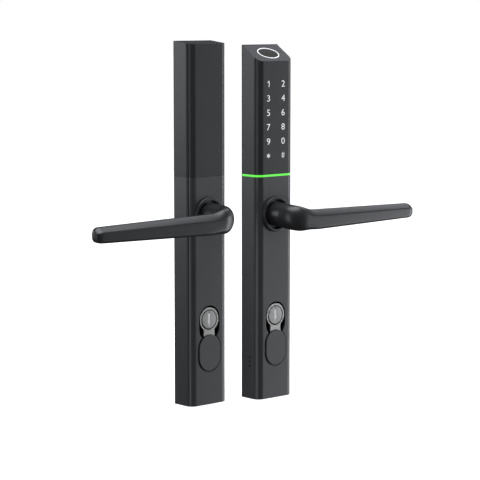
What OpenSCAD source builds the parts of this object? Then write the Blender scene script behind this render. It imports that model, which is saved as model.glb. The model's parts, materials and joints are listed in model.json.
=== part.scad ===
// Slim keypad smart lock for narrow door stiles: an outside half with keypad and
// fingerprint reader, and an inside half with the batteries, standing side by side.
// Row frame: origin on the outside spindle axis at the door face, +Z up,
// the fronts of both halves look along -Y.

/* [Escutcheons] */
// Width of each half
unit_w = 39.5; // [38:0.5:46]
// Depth of each half from the door face
unit_d = 20.6; // [20.2:0.2:24]
// Radius of the two front vertical edges
edge_r = 6.1; // [4:0.1:7]
// Height of the top above the spindle axis
top_z = 140; // [139:1:160]
// Depth of the bottom below the spindle axis
bot_z = 155; // [152:1:170]
// Wall thickness of the metal housings
wall = 2; // [1.8:0.1:2.2]
// Wall thickness of the plastic covers
cover_wall = 1.8; // [1.5:0.1:2]
// Drop of the outside half's slanted top, back to front
slant_drop = 13.3; // [8:0.1:14]
// Drop of the inside half's top, back to front
inside_drop = 2.4; // [0:0.1:4]
// Height of the joint between housing and upper cover, above the spindle
seam_z = 31.4; // [31:0.2:34]
// Height of the light ring
ring_h = 1.8; // [1:0.1:3]
// Thickness of the rubber gaskets behind both halves
gasket_t = 0.6; // [0.4:0.1:0.8]

/* [Layout] */
// Distance from the outside spindle axis to the inside one
pair_x = 73; // [60:1:120]
// How much higher the inside half stands
pair_z = 4; // [0:0.5:10]

/* [Handles] */
// Half height of the grip next to the elbow
lever_a0 = 8.6; // [7.5:0.1:9.5]
// Half height of the lever at its tip
lever_a1 = 6.1; // [5:0.1:7]
// Half height of the lever at its elbow
elbow_a = 10.5; // [10:0.1:11.5]
// Half depth of the lever at the elbow
lever_b0 = 5.0; // [4.5:0.1:6]
// Half depth of the lever at its tip
lever_b1 = 4.7; // [4:0.1:5.5]
// Straight length of the neck before the elbow
neck_len = 16.6; // [14:0.2:22]
// Radius of the elbow
elbow_r = 8.9; // [8:0.1:12]
// Length of the straight grip
grip_len = 127; // [100:1:130]
// Drop of the grip's middle line below the spindle
grip_drop = 4; // [0:0.1:4.5]
// Radius of the lever neck
neck_r = 10; // [9:0.1:10.4]
// Outer radius of the rose
rose_r = 14.9; // [14:0.1:16]
// How far the rose stands out
rose_t = 2; // [1.5:0.1:2.5]
// Side of the square spindle
spindle_sq = 8; // [8:0.5:9]

/* [Cylinder] */
// Distance from spindle to cylinder, a standard 85 mm centre
centre_cc = 85; // [85:1:92]
// Radius of the profile cylinder's round part
cyl_r = 8.5; // [8.5:0.1:8.6]
// Width of the profile cylinder's neck
cyl_neck = 10; // [10:0.1:10.2]
// Full height of the cylinder profile
cyl_h = 33; // [33:0.1:33.2]
// Length of each half cylinder
cyl_len = 25; // [20:1:26]
// Radius of the turning plug
plug_r = 7.2; // [6.5:0.1:7.3]
// Radius of the cylinder's enlarged front head
head_r = 9.9; // [9:0.1:10]
// Width of the neck at the front head
head_neck = 11.4; // [11:0.1:12]
// Radius of the plug's face
face_r = 7.5; // [7.3:0.1:7.7]
// Radius of the cylinder cover's ends
cover_r = 11; // [10.5:0.1:11.5]
// Straight length of the cylinder cover
cover_s = 7.5; // [6:0.5:8]
// Thickness of the cylinder cover
cover_t = 0.8; // [0.7:0.1:1.4]
// Width of the shadow gap around the parked cylinder cover
cover_gap = 1.1; // [0.5:0.1:1.2]

/* [Keypad] */
// Distance from the middle line to each column of keys
key_x = 8.15; // [7:0.05:9]
// Height of the first row above the spindle
key_z = 108; // [100:0.1:111]
// Distance between rows
key_pitch = 11.85; // [10:0.05:12]
// Height of a digit
digit_h = 5.2; // [4:0.1:6]
// Stroke width of a digit
digit_t = 0.62; // [0.4:0.02:0.8]
// Half width of the oval fingerprint bezel
bezel_a = 10.9; // [9:0.1:12]
// Half height of the oval fingerprint bezel, along the slope
bezel_b = 7.5; // [7:0.1:8.5]
// Width of the bezel's rim
bezel_w = 0.8; // [0.6:0.1:1.5]

/* [Hidden] */
$fn = 64;

black_metal = [0.10, 0.10, 0.105];
black_plastic = [0.07, 0.07, 0.07];
steel = [0.62, 0.62, 0.60];
nickel = [0.60, 0.60, 0.57];

front = -unit_d;                 // front face
rim = -gasket_t;                 // where the housings' back rims end
inner = front + wall;            // inner side of the metal front wall
plate_t = 1.5;                   // back plate
plate_f = rim - plate_t;         // front side of the back plate
hole_r = cover_r - 0.15;         // opening for the cylinder
pill_lo = -centre_cc - 2 * cover_s - 2 * cover_r + 5.9; // lower arc centre of the parked cover
pill_hi = pill_lo + cover_s;     // upper arc centre of the parked cover
hole_hi = -centre_cc + 0.6;      // upper arc centre of the opening
hole_lo = hole_hi - cover_s;     // lower arc centre of the opening
pivot_z = (pill_hi + cover_r + hole_lo - cover_r) / 2; // cover pivot, middle of the overlap
post_hi = 100;                   // upper fixing
post_lo = -135;                  // lower fixing
cyl_f = front + 2.3;             // front of the standard profile
head_f = front + 0.2;            // front of the enlarged head, just under the cover's sweep
head_b = front + 10;             // back of the enlarged head
ring_top = seam_z + ring_h;
slant_a = atan2(slant_drop, unit_d);
bez_y = -unit_d * 0.527;         // middle of the fingerprint reader on the slope
bez_z = top_z - slant_drop * 0.527;
part_a = 28;                     // where the parting groove lies on the edge rounding

// ---------- shared shapes ----------
// cylinder along +Y from y0 to y1
module ycyl(r, y0, y1, x = 0, z = 0) translate([x, y1, z]) rotate([90, 0, 0]) cylinder(r = r, h = y1 - y0);
// box from corner to corner
module box(x0, x1, y0, y1, z0, z1) translate([x0, y0, z0]) cube([x1 - x0, y1 - y0, z1 - z0]);
// plan of a housing: flat back, two rounded front edges
module plan(w, yb, yf, r) {
  translate([-w / 2, yf + r]) square([w, yb - yf - r]);
  translate([-w / 2 + r, yf]) square([w - 2 * r, yb - yf]);
  for (s = [-1, 1]) translate([s * (w / 2 - r), yf + r]) circle(r = r);
}
module prism(w, yb, yf, r, z0, z1) translate([0, 0, z0]) linear_extrude(z1 - z0) plan(w, yb, yf, r);
// obround in the XZ plane, arc centres at zl and zh, along Y from y0 to y1
module yslot(r, zl, zh, y0, y1) {
  ycyl(r, y0, y1, 0, zl);
  ycyl(r, y0, y1, 0, zh);
  box(-r, r, y0, y1, zl, zh);
}
module cyl_profile(r, n, h, y0, y1) {
  ycyl(r, y0, y1, 0, -centre_cc);
  box(-n / 2, n / 2, y0, y1, -centre_cc + r - h + n / 2, -centre_cc);
  ycyl(n / 2, y0, y1, 0, -centre_cc + r - h + n / 2);
}
// oval outline
module oval(a, b) polygon([for (i = [0:71]) [a * cos(5 * i), b * sin(5 * i)]]);
// fine parting groove along both front edges
module parting(z0, z1) for (s = [-1, 1])
  translate([s * (unit_w / 2 - edge_r * (1 - cos(part_a))), front + edge_r * (1 - sin(part_a)), z0]) cylinder(r = 0.4, h = z1 - z0, $fn = 24);
// half space below the slanted top, as a wide prism across X
module under_slope(drop, z, off = 0) rotate([90, 0, 90]) translate([0, 0, -60]) linear_extrude(120)
  polygon([[10, z + off + 10 * drop / unit_d], [-unit_d - 10, z + off - drop - 10 * drop / unit_d], [-unit_d - 10, -400], [10, -400]]);
module in_place() translate([-pair_x, 0, pair_z]) children();

// ---------- housings ----------
boss_x = 12.6;
module housing(drop_holes) {
  difference() {
    union() {
      difference() {
        prism(unit_w, rim, front, edge_r, -bot_z, seam_z);
        prism(unit_w - 2 * wall, rim + 1, inner, edge_r - wall, -bot_z + wall, seam_z + 1);
      }
      if (drop_holes)
        for (s = [-1, 1], z = [-143, -40]) ycyl(2.6, inner - 0.5, plate_f, s * boss_x, z);
      else
        for (s = [-1, 1]) box(s * boss_x - 3, s * boss_x + 3, inner - 0.5, inner + 7.5, -bot_z + 1, -bot_z + 7);
    }
    ycyl(13.2, front - 1, inner + 0.01);
    // cylinder opening, its lower end closed by a thin web under the cover
    difference() {
      yslot(hole_r, hole_lo, hole_hi, front - 1, inner + 1);
      translate([0, 0, 0]) intersection() {
        ycyl(10.4, front, front + 1, 0, pill_hi);
        box(-12, 12, front, front + 1, -centre_cc - cover_s - 14, -centre_cc);
      }
    }
    ycyl(1.55, front - 1, inner + 1, 0, pivot_z);
    // shadow gap around the parked cover
    difference() {
      yslot(cover_r + cover_gap, pill_lo, pill_hi, front - 1, front + 0.5);
      yslot(cover_r, pill_lo, pill_hi, front - 2, front + 1);
    }
    if (drop_holes) {
      for (s = [-1, 1], z = [-143, -40]) ycyl(1.3, -14, plate_f + 1, s * boss_x, z);
      for (z = [-119.7, -123.5, -127.3]) translate([-unit_w / 2 - 1, -10.4, z]) rotate([0, 90, 0]) cylinder(r = 0.85, h = wall + 2);
    } else
      for (s = [-1, 1]) translate([s * boss_x, inner + 3.5, -bot_z - 1]) {
        cylinder(r = 1.3, h = 9);
        cylinder(r = 2.5, h = 2.2);
      }
    if (!drop_holes) parting(-bot_z - 1, seam_z + 1);
  }
}
module outside_housing() color(black_metal) housing(true);
module inside_housing() color(black_metal) in_place() housing(false);

module on_slope() translate([0, bez_y, bez_z]) rotate([slant_a, 0, 0]) children();
module outside_keypad_cover() color(black_plastic) {
  yi = front + cover_wall;
  difference() {
    union() {
      intersection() {
        difference() {
          prism(unit_w, rim, front, edge_r, ring_top, top_z + 1);
          difference() {
            prism(unit_w - 2 * cover_wall, rim + 1, yi, edge_r - cover_wall, ring_top - 1, top_z + 1);
            difference() {
              translate([0, 0, top_z - 60]) box(-30, 30, -40, 30, 0, 100);
              under_slope(slant_drop, top_z, -3.2);
            }
          }
        }
        under_slope(slant_drop, top_z);
      }
      for (s = [-1, 1], z = [44, 112]) ycyl(2.4, yi - 0.5, plate_f, s * 14.9, z);
      // lip that drops inside the light ring
      difference() {
        union() {
          prism(unit_w - 2 * wall - 0.3, -4, inner + 0.15, edge_r - wall, seam_z - 2, ring_top + 0.5);
          prism(unit_w - 2 * cover_wall + 0.6, -4, yi - 0.3, edge_r - cover_wall, ring_top, ring_top + 2);
        }
        prism(unit_w - 2 * wall - 3, 0, inner + 1.6, edge_r - wall - 1.4, seam_z - 3, ring_top + 3);
      }
    }
    on_slope() translate([0, 0, -1.6]) linear_extrude(6) oval(bezel_a + 0.05, bezel_b + 0.05);
    on_slope() translate([0, 0, -6]) linear_extrude(8) oval(bezel_a - bezel_w, bezel_b - bezel_w);
    for (s = [-1, 1], z = [44, 112]) ycyl(1.3, -14, plate_f + 1, s * 14.9, z);
  }
}

module outside_light_ring() color([0.3, 0.9, 0.25]) difference() {
  prism(unit_w, rim, front, edge_r, seam_z, ring_top);
  prism(unit_w - 2 * cover_wall, rim + 1, front + cover_wall, edge_r - cover_wall, seam_z - 1, ring_top + 1);
}

module inside_battery_cover() color(black_plastic) in_place() {
  yi = front + cover_wall;
  intersection() {
    difference() {
      prism(unit_w, rim, front, edge_r, seam_z + 0.3, top_z + 1);
      difference() {
        prism(unit_w - 2 * cover_wall, rim + 1, yi, edge_r - cover_wall, seam_z - 1, top_z + 1);
        difference() {
          translate([0, 0, top_z - 60]) box(-30, 30, -40, 30, 0, 100);
          under_slope(inside_drop, top_z, -2);
        }
        // two rails that run behind the tray's wings
        for (s = [-1, 1]) translate([s * 17.2, 0, 0]) box(-1, 1, -3.3, -2.4, seam_z - 1, top_z - 4);
      }
      parting(seam_z - 1, top_z + 2);
    }
    under_slope(inside_drop, top_z);
  }
}

// ---------- back plates, gaskets, fixings ----------
plate_w = unit_w - 2 * wall - 0.4;
module plate() difference() {
  box(-plate_w / 2, plate_w / 2, plate_f, rim, -bot_z + wall + 0.2, top_z - 6.5);
  ycyl(6.4, plate_f - 1, rim + 1);
  cyl_profile(cyl_r + 0.3, cyl_neck + 0.6, cyl_h + 0.6, plate_f - 1, rim + 1);
  box(-7.2, 7.2, plate_f - 1, rim + 1, 18.8, 27.2);
  children();
}
module outside_back_plate() color(steel) plate() {
  for (z = [post_hi, post_lo]) ycyl(4.02, plate_f - 1, rim + 1, 0, z);
  for (s = [-1, 1], z = [-143, -40]) ycyl(1.3, plate_f - 1, rim + 1, s * boss_x, z);
  for (s = [-1, 1], z = [44, 112]) ycyl(1.3, plate_f - 1, rim + 1, s * 14.9, z);
}
module inside_back_plate() color(steel) in_place() {
  plate() for (z = [post_hi, post_lo]) ycyl(2.75, plate_f - 1, rim + 1, 0, z);
  // two threaded tabs for the housing's bottom screws
  for (s = [-1, 1]) difference() {
    box(s * boss_x - 3.5, s * boss_x + 3.5, inner + 1.1, plate_f + 0.5, -bot_z + 7.2, -bot_z + 9.2);
    translate([s * boss_x, inner + 3.5, -bot_z]) cylinder(r = 1.3, h = 12);
  }
}
module gasket() difference() {
  box(-unit_w / 2, unit_w / 2, rim, 0, -bot_z, top_z);
  box(-unit_w / 2 + 4.5, unit_w / 2 - 4.5, -2, 2, -bot_z + 5, top_z - 7);
  children();
}
module outside_gasket() color([0.05, 0.05, 0.05]) gasket() {
  for (s = [-1, 1], z = [-143, -40]) ycyl(2.6, -2, 2, s * boss_x, z);
  for (s = [-1, 1], z = [44, 112]) ycyl(2.6, -2, 2, s * 14.9, z);
}
module inside_gasket() color([0.05, 0.05, 0.05]) in_place() gasket();

module plate_screw() {
  ycyl(1.25, -11, rim);
  ycyl(2.3, rim, 0);
}
module outside_plate_screws() color(steel) {
  for (s = [-1, 1], z = [-143, -40]) translate([s * boss_x, 0, z]) difference() { plate_screw(); ycyl(0.8, -0.4, 1); }
  for (s = [-1, 1], z = [44, 112]) translate([s * 14.9, 0, z]) difference() { plate_screw(); ycyl(0.8, -0.4, 1); }
}
module inside_housing_screws() color(steel) in_place()
  for (s = [-1, 1]) translate([s * boss_x, inner + 3.5, -bot_z + 0.1]) difference() {
    union() { cylinder(r = 1.25, h = 11); cylinder(r = 2.4, h = 1); }
    translate([0, 0, -1]) cylinder(r = 1, h = 1.7, $fn = 6);
  }
module outside_mounting_posts() color(steel) for (z = [post_hi, post_lo]) translate([0, 0, z]) difference() {
  union() { ycyl(4, plate_f - 0.01, 9.4); ycyl(6, plate_f - 1.2, plate_f); }
  ycyl(2.1, -2.6, 10);
}

// ---------- boards and small electrics ----------
module outside_keypad_board() color([0.05, 0.25, 0.12]) {
  box(-11.8, 11.8, front + cover_wall, front + cover_wall + 1, 40, 118);
  for (i = [0:5], s = [-1, 1]) box(s * key_x - 1, s * key_x + 1, front + cover_wall + 1, front + cover_wall + 1.8, key_z - i * key_pitch - 1, key_z - i * key_pitch + 1);
}
module outside_control_board() color([0.05, 0.25, 0.12]) difference() {
  union() {
    box(-15.5, 15.5, -5.4, -4.2, 36, 96);
    box(-5, 5, -7.4, -5.4, 60, 70);
    box(-12, -8, -7, -5.4, 50, 58);
    box(-14, 14, -12.4, -5.4, 80, 86);
  }
  for (s = [-1, 1]) ycyl(3, -8, 0, s * 14.9, 44);
}
module inside_control_board() color([0.05, 0.25, 0.12]) in_place() {
  box(-13, 13, -5.6, -4.4, -68, -20);
  box(-6, 4, -7.4, -5.6, -50, -40);
  box(6, 11, -9, -5.6, -62, -52);
}
module outside_buzzer() color([0.08, 0.08, 0.08]) translate([-unit_w / 2 + wall, -10.4, -123.5]) rotate([0, 90, 0]) difference() {
  cylinder(r = 4, h = 4);
  translate([0, 0, -1]) cylinder(r = 1, h = 2);
}
module socket() difference() {
  box(-7, 7, -8, 2, 19, 27);
  box(-5.6, 5.6, -5, 3, 20.6, 25.4);
}
module outside_harness_socket() color([0.85, 0.84, 0.78]) socket();
module inside_harness_socket() color([0.85, 0.84, 0.78]) in_place() socket();

module outside_fingerprint_bezel() color([0.85, 0.86, 0.88]) on_slope() difference() {
  translate([0, 0, -1.55]) linear_extrude(1.75) oval(bezel_a, bezel_b);
  translate([0, 0, -3]) linear_extrude(6) oval(bezel_a - bezel_w, bezel_b - bezel_w);
}
module outside_fingerprint_sensor() color([0.12, 0.12, 0.12]) on_slope()
  translate([0, 0, -5]) linear_extrude(4.9) oval(bezel_a - bezel_w - 0.05, bezel_b - bezel_w - 0.05);

// ---------- digits ----------
// each glyph is a chain of points on a grid 4 wide and 6 high
function glyph(n) =
  n == 1 ? [[[1, 4.8], [2.4, 6], [2.4, 0]]] :
  n == 2 ? [[[0.3, 4.6], [0.9, 5.7], [2, 6], [3.2, 5.6], [3.7, 4.5], [3.2, 3.3], [0.2, 0], [3.8, 0]]] :
  n == 3 ? [[[0.3, 4.8], [1, 5.7], [2, 6], [3.2, 5.5], [3.5, 4.5], [3, 3.5], [1.8, 3.2], [3.2, 2.8], [3.8, 1.7], [3.2, 0.5], [2, 0], [0.8, 0.3], [0.2, 1.3]]] :
  n == 4 ? [[[2.8, 0], [2.8, 6], [0.1, 1.8], [3.9, 1.8]]] :
  n == 5 ? [[[3.5, 6], [0.9, 6], [0.5, 3.2], [1.9, 3.8], [3.3, 3.2], [3.8, 1.9], [3.2, 0.5], [2, 0], [0.8, 0.3], [0.2, 1.3]]] :
  n == 6 ? [[[3.6, 5], [2.8, 5.9], [1.7, 5.9], [0.7, 4.9], [0.3, 2.8], [0.5, 1], [1.6, 0], [2.9, 0.1], [3.8, 1.3], [3.6, 2.9], [2.4, 3.7], [1, 3.2], [0.35, 2.2]]] :
  n == 7 ? [[[0.2, 6], [3.8, 6], [2.4, 3.6], [1.5, 0]]] :
  n == 8 ? [[[2, 3.2], [0.8, 3.7], [0.5, 4.7], [1.1, 5.7], [2, 6], [2.9, 5.7], [3.5, 4.7], [3.2, 3.7], [2, 3.2], [0.7, 2.6], [0.2, 1.6], [0.9, 0.3], [2, 0], [3.1, 0.3], [3.8, 1.6], [3.3, 2.6], [2, 3.2]]] :
  n == 9 ? [[[0.4, 1], [1.2, 0.1], [2.3, 0.1], [3.3, 1.1], [3.7, 3.2], [3.5, 5], [2.4, 6], [1.1, 5.9], [0.2, 4.7], [0.4, 3.1], [1.6, 2.3], [3, 2.8], [3.65, 3.8]]] :
  n == 10 ? [[[2, 0], [0.8, 0.5], [0.2, 2], [0.2, 4], [0.8, 5.5], [2, 6], [3.2, 5.5], [3.8, 4], [3.8, 2], [3.2, 0.5], [2, 0]]] :
  n == 11 ? [[[2, 1.2], [2, 4.8]], [[0.5, 2.1], [3.5, 3.9]], [[0.5, 3.9], [3.5, 2.1]]] :
  [[[1, 0], [1.8, 6]], [[2.4, 0], [3.2, 6]], [[0.1, 4], [4, 4]], [[-0.1, 2], [3.8, 2]]];
module stroke(p, q, t) {
  d = norm(q - p);
  translate(p) rotate(atan2(q[1] - p[1], q[0] - p[0])) translate([0, -t / 2]) square([d, t]);
  translate(q) circle(d = t, $fn = 16);
}
module digit(n) {
  k = digit_h / 6;
  for (c = glyph(n)) {
    translate([(c[0][0] - 2) * k, (c[0][1] - 3) * k]) circle(d = digit_t, $fn = 16);
    for (i = [1:len(c) - 1]) stroke([(c[i - 1][0] - 2) * k, (c[i - 1][1] - 3) * k], [(c[i][0] - 2) * k, (c[i][1] - 3) * k], digit_t);
  }
}
module outside_key_legends() color([0.92, 0.93, 0.95])
  for (i = [0:5], j = [0, 1])
    translate([(2 * j - 1) * key_x, front, key_z - i * key_pitch]) rotate([90, 0, 0]) linear_extrude(0.12)
      digit(i < 5 ? (i == 4 ? (j == 0 ? 9 : 10) : 2 * i + j + 1) : 11 + j);

// ---------- handle ----------
function sm(t) = let(u = max(0, min(1, t))) u * u * (3 - 2 * u);
turn_len = elbow_r * PI / 2;
lev_y0 = front + 0.3;
tip_r = 6.4;
function lev_heading(s) = s <= neck_len ? 0 : min(90, (s - neck_len) / elbow_r * 180 / PI);
function lev_pos(s) = s <= neck_len ? [0, lev_y0 - s] :
  s <= neck_len + turn_len ? [elbow_r * (1 - cos(lev_heading(s))), lev_y0 - neck_len - elbow_r * sin(lev_heading(s))] :
  [elbow_r + s - neck_len - turn_len, lev_y0 - neck_len - elbow_r];
lev_total = neck_len + turn_len + grip_len;
function tip_k(s) = let(d = (lev_total - s) / tip_r) 0.35 + 0.65 * (d < 1 ? sqrt(max(0, 1 - (1 - d) * (1 - d))) : 1);
function lev_q(s) = max(0, s - neck_len - turn_len);
function lev_a(s) = let(q = lev_q(s), mid = neck_len + turn_len / 2) tip_k(s) * (s < mid
  ? neck_r + (elbow_a - neck_r) * sm(s / mid)
  : lever_a0 + (lever_a1 - lever_a0) * q / grip_len + (elbow_a - lever_a0) * (1 - sm((s - mid) / 15)));
// half depth towards the door, and away from it round the outside of the bend
function lev_b(s) = tip_k(s) * (neck_r + (lever_b0 - neck_r) * sm(s / (neck_len + turn_len)) + (lever_b1 - lever_b0) * lev_q(s) / grip_len);
function lev_o(s) = tip_k(s) * (neck_r + (lever_b0 - neck_r) * sm((s - 0.75 * neck_len) / (0.25 * neck_len + turn_len)) + (lever_b1 - lever_b0) * lev_q(s) / grip_len);
// the grip's section, depth and height as parts of the half sizes: a sloping top facet over a flat front
grip_sec = [[1, 0.7], [0.72, 1], [0, 1], [-1, 0.34], [-0.93, -0.8], [-0.6, -1], [0.72, -1], [1, -0.7]];
function sec_r(f) = min([for (i = [0:len(grip_sec) - 1]) let(p = grip_sec[i], q = grip_sec[(i + 1) % len(grip_sec)],
  n = [p[1] - q[1], q[0] - p[0]], m = n * p < 0 ? -n : n, d = m[0] * cos(f) + m[1] * sin(f)) d > 0.001 ? m * p / d : 9]);
function lev_ring(s, m) = let(p = lev_pos(s), h = lev_heading(s), a = lev_a(s), b = lev_b(s), o = lev_o(s),
    w = 0.9 * sm((s - neck_len - 0.2 * turn_len) / (0.8 * turn_len + 14)),
    zc = -grip_drop * sm((s - 2) / 44))
  [for (i = [0:m - 1]) let(f = 360 * i / m, r = 1 + (sec_r(f) - 1) * w, u = (cos(f) < 0 ? o : b) * cos(f) * r, v = a * sin(f) * r)
    [p[0] + u * cos(h), p[1] + u * sin(h), zc + v]];
lev_m = 30;
lev_s = concat([for (i = [0:4]) i * neck_len / 5], [for (i = [0:9]) neck_len + i * turn_len / 10],
  [for (i = [0:11]) neck_len + turn_len + i * (grip_len - tip_r) / 12],
  [for (i = [0:8]) lev_total - tip_r * (1 - sin(90 * i / 8))]);
module lever_body() {
  rings = [for (s = lev_s) lev_ring(s, lev_m)];
  n = len(rings);
  pts = concat([for (r = rings) each r]);
  faces = concat([[for (i = [0:lev_m - 1]) i]],
    [for (k = [0:n - 2], i = [0:lev_m - 1]) each [[k * lev_m + i, (k + 1) * lev_m + i, k * lev_m + (i + 1) % lev_m],
      [k * lev_m + (i + 1) % lev_m, (k + 1) * lev_m + i, (k + 1) * lev_m + (i + 1) % lev_m]]],
    [[for (i = [lev_m - 1:-1:0]) (n - 1) * lev_m + i]]);
  polyhedron(pts, faces, convexity = 6);
}
module lever() difference() {
  lever_body();
  // square socket for the hub and the grub screw's hole
  box(-4.55, 4.55, front - 10.6, front + 1, -4.55, 4.55);
  translate([0, front - 5, -14]) cylinder(r = 2.55, h = 10);
}
module outside_lever() color(black_metal) lever();
module inside_lever() color(black_metal) in_place() mirror([1, 0, 0]) lever();

module grub() difference() {
  translate([0, front - 5, -9.4]) cylinder(r = 2.45, h = 4.85);
  translate([0, front - 5, -10]) cylinder(r = 1.4, h = 2.6, $fn = 6);
}
module outside_lever_grub_screw() color(steel) grub();
module inside_lever_grub_screw() color(steel) in_place() grub();

module rose() difference() {
  union() {
    translate([0, front, 0]) rotate([90, 0, 0]) rotate_extrude()
      polygon([[12, 0], [rose_r, 0], [rose_r, rose_t - 0.7], [rose_r - 0.25, rose_t - 0.2], [rose_r - 0.8, rose_t], [12.7, rose_t], [12, rose_t - 0.6]]);
    ycyl(13.15, front, inner);
  }
  ycyl(12, front - 5, inner + 1);
}
module outside_rose() color(black_metal) rose();
module inside_rose() color(black_metal) in_place() rose();

module bush() difference() {
  union() { ycyl(11.95, front + 0.8, inner); ycyl(13.6, inner, inner + 1); }
  ycyl(8.05, front - 1, inner + 2);
}
module outside_bush() color([0.04, 0.04, 0.04]) bush();
module inside_bush() color([0.04, 0.04, 0.04]) in_place() bush();

hub_f = inner + 1.1;    // front side of the hub flange
hub_b = hub_f + 3;      // back side of the hub flange
module hub_blank() {
  ycyl(8, front + 0.5, hub_f + 0.01);
  ycyl(10, hub_f, hub_b);
  box(-4.5, 4.5, front - 10.4, front + 1, -4.5, 4.5);
}
module outside_lever_hub() color(steel) difference() {
  hub_blank();
  ycyl(3.95, hub_b - 3.6, hub_b + 1);
  for (s = [-1, 1]) box(s * 7 - 1.6, s * 7 + 1.6, hub_b - 2.2, hub_b + 1, -1.6, 1.6);
}
module inside_lever_hub() color(steel) in_place() difference() {
  hub_blank();
  box(-4.04, 4.04, hub_b - 4.6, hub_b + 1, -4.04, 4.04);
}
module coil() {
  for (i = [0, 1]) translate([0, hub_f + 0.9 + 1.25 * i, 0]) rotate([90, 0, 0]) rotate_extrude() translate([12.3, 0]) circle(r = 0.62);
  translate([12.3, hub_f + 2.15, 0]) rotate([0, 90, 0]) cylinder(r = 0.55, h = unit_w / 2 - wall - 12.9);
  ycyl(0.5, hub_f + 0.9, hub_f + 2.15, 0, -12.3);
}
module outside_return_spring() color(steel) coil();
module inside_return_spring() color(steel) in_place() coil();

module outside_spindle() color(steel) {
  ycyl(3.9, hub_b - 3.4, hub_b + 0.6);
  box(-spindle_sq / 2, spindle_sq / 2, hub_b + 0.5, 14, -spindle_sq / 2, spindle_sq / 2);
}
module inside_spindle() color(steel) in_place()
  box(-spindle_sq / 2, spindle_sq / 2, hub_b - 4.5, 14, -spindle_sq / 2, spindle_sq / 2);
module collar() difference() {
  ycyl(7.6, -3.6, -2.5);
  box(-4.04, 4.04, -5, 0, -4.04, 4.04);
}
module outside_spindle_collar() color(steel) collar();
module inside_spindle_collar() color(steel) in_place() collar();

// ---------- clutch ----------
slv_f = hub_b + 2.6;    // front side of the sleeve
module clutch_sleeve() color([0.7, 0.6, 0.35]) {
  difference() {
    union() {
      ycyl(10, slv_f, slv_f + 0.8);
      ycyl(8.4, slv_f, slv_f + 3);
      ycyl(10, slv_f + 2.2, slv_f + 3);
    }
    box(-4.05, 4.05, slv_f - 1, slv_f + 4, -4.05, 4.05);
  }
  for (s = [-1, 1]) box(s * 7 - 1.3, s * 7 + 1.3, slv_f - 2.4, slv_f + 0.1, -1.3, 1.3);
}
module clutch_fork() color([0.75, 0.75, 0.72]) {
  difference() {
    union() {
      ycyl(12.6, slv_f + 1, slv_f + 2);
      box(-3, 3, slv_f + 1, slv_f + 2, 10, 27);
    }
    ycyl(8.8, slv_f, slv_f + 3);
    box(-8.8, 8.8, slv_f, slv_f + 3, -14, 0);
    box(-14, 14, slv_f, slv_f + 3, -14, -2);
  }
  ycyl(1.5, slv_f - 4.2, slv_f + 1.01, 0, 24);
}
module clutch_solenoid() color([0.55, 0.3, 0.15]) difference() {
  union() {
    box(-5.5, 5.5, inner, slv_f - 1.2, 18.6, 29.4);
    ycyl(4.2, slv_f - 1.3, slv_f - 1, 0, 24);
  }
  ycyl(1.56, slv_f - 6.2, slv_f + 1, 0, 24);
}

// ---------- profile cylinder ----------
module cyl_body() difference() {
  union() {
    cyl_profile(cyl_r, cyl_neck, cyl_h, cyl_f, cyl_f + cyl_len);
    ycyl(head_r, head_f, head_b, 0, -centre_cc);
    difference() {
      box(-head_neck / 2, head_neck / 2, head_f, head_b, pivot_z - 0.2, -centre_cc);
      ycyl(cover_r + 0.05, head_f - 1, cyl_f, 0, pill_hi);
    }
  }
  ycyl(plug_r + 0.05, cyl_f, cyl_f + cyl_len - 2, 0, -centre_cc);
  ycyl(face_r + 0.05, head_f - 1, cyl_f + 3, 0, -centre_cc);
  // relief around the plug's face, deepest towards the bottom
  ycyl(face_r + 0.8, head_f - 1, head_f + 0.9, -0.15, -centre_cc - 0.3);
  ycyl(3.2, cyl_f, cyl_f + cyl_len + 1, 0, -centre_cc);
}
module cyl_plug() difference() {
  union() {
    ycyl(face_r, head_f, cyl_f + 2.9, 0, -centre_cc);
    ycyl(plug_r, cyl_f, cyl_f + cyl_len - 2.1, 0, -centre_cc);
    ycyl(3, cyl_f + cyl_len - 2.2, cyl_f + cyl_len + 1.5, 0, -centre_cc);
  }
  // keyway: a tapered foot, a wide middle and a square top, and a pin mark above it
  translate([0, cyl_f + cyl_len - 4, -centre_cc]) rotate([90, 0, 0]) linear_extrude(cyl_len)
    polygon([[-0.55, -5.9], [0.55, -5.9], [0.75, -3.6], [1.5, -2.9], [1.65, -0.6], [1.15, 0.7],
      [1.4, 1.3], [1.4, 5], [-1.4, 5], [-1.4, 1.3], [-1.15, 0.7], [-1.65, -0.6], [-1.5, -2.9], [-0.75, -3.6]]);
  ycyl(0.5, head_f - 1, head_f + 0.6, 0, -centre_cc + 6.4);
}
module outside_cylinder_body() color(nickel) cyl_body();
module outside_cylinder_plug() color(nickel) cyl_plug();
module inside_cylinder_body() color(nickel) in_place() cyl_body();
module inside_cylinder_plug() color(nickel) in_place() cyl_plug();

cov_y = front - 0.05;
module cyl_cover() difference() {
  union() {
    yslot(cover_r - 0.25, pill_lo, pill_hi, cov_y - cover_t, cov_y);
    yslot(cover_r, pill_lo, pill_hi, cov_y - cover_t + 0.25, cov_y);
  }
  ycyl(1.5, cov_y - 0.5, cov_y + 1, 0, pivot_z);
}
module rivet() {
  ycyl(1.5, cov_y - 0.5, front + 1.35, 0, pivot_z);
  ycyl(2.4, front + 1.35, front + 1.95, 0, pivot_z);
}
module washer() difference() {
  ycyl(2.4, front + 1, front + 1.3, 0, pivot_z);
  ycyl(1.6, front, front + 2, 0, pivot_z);
}
module outside_cylinder_cover() color(black_metal) cyl_cover();
module inside_cylinder_cover() color(black_metal) in_place() cyl_cover();
module outside_cover_rivet() color(steel) rivet();
module inside_cover_rivet() color(steel) in_place() rivet();
module outside_cover_washer() color(steel) washer();
module inside_cover_washer() color(steel) in_place() washer();

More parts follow.
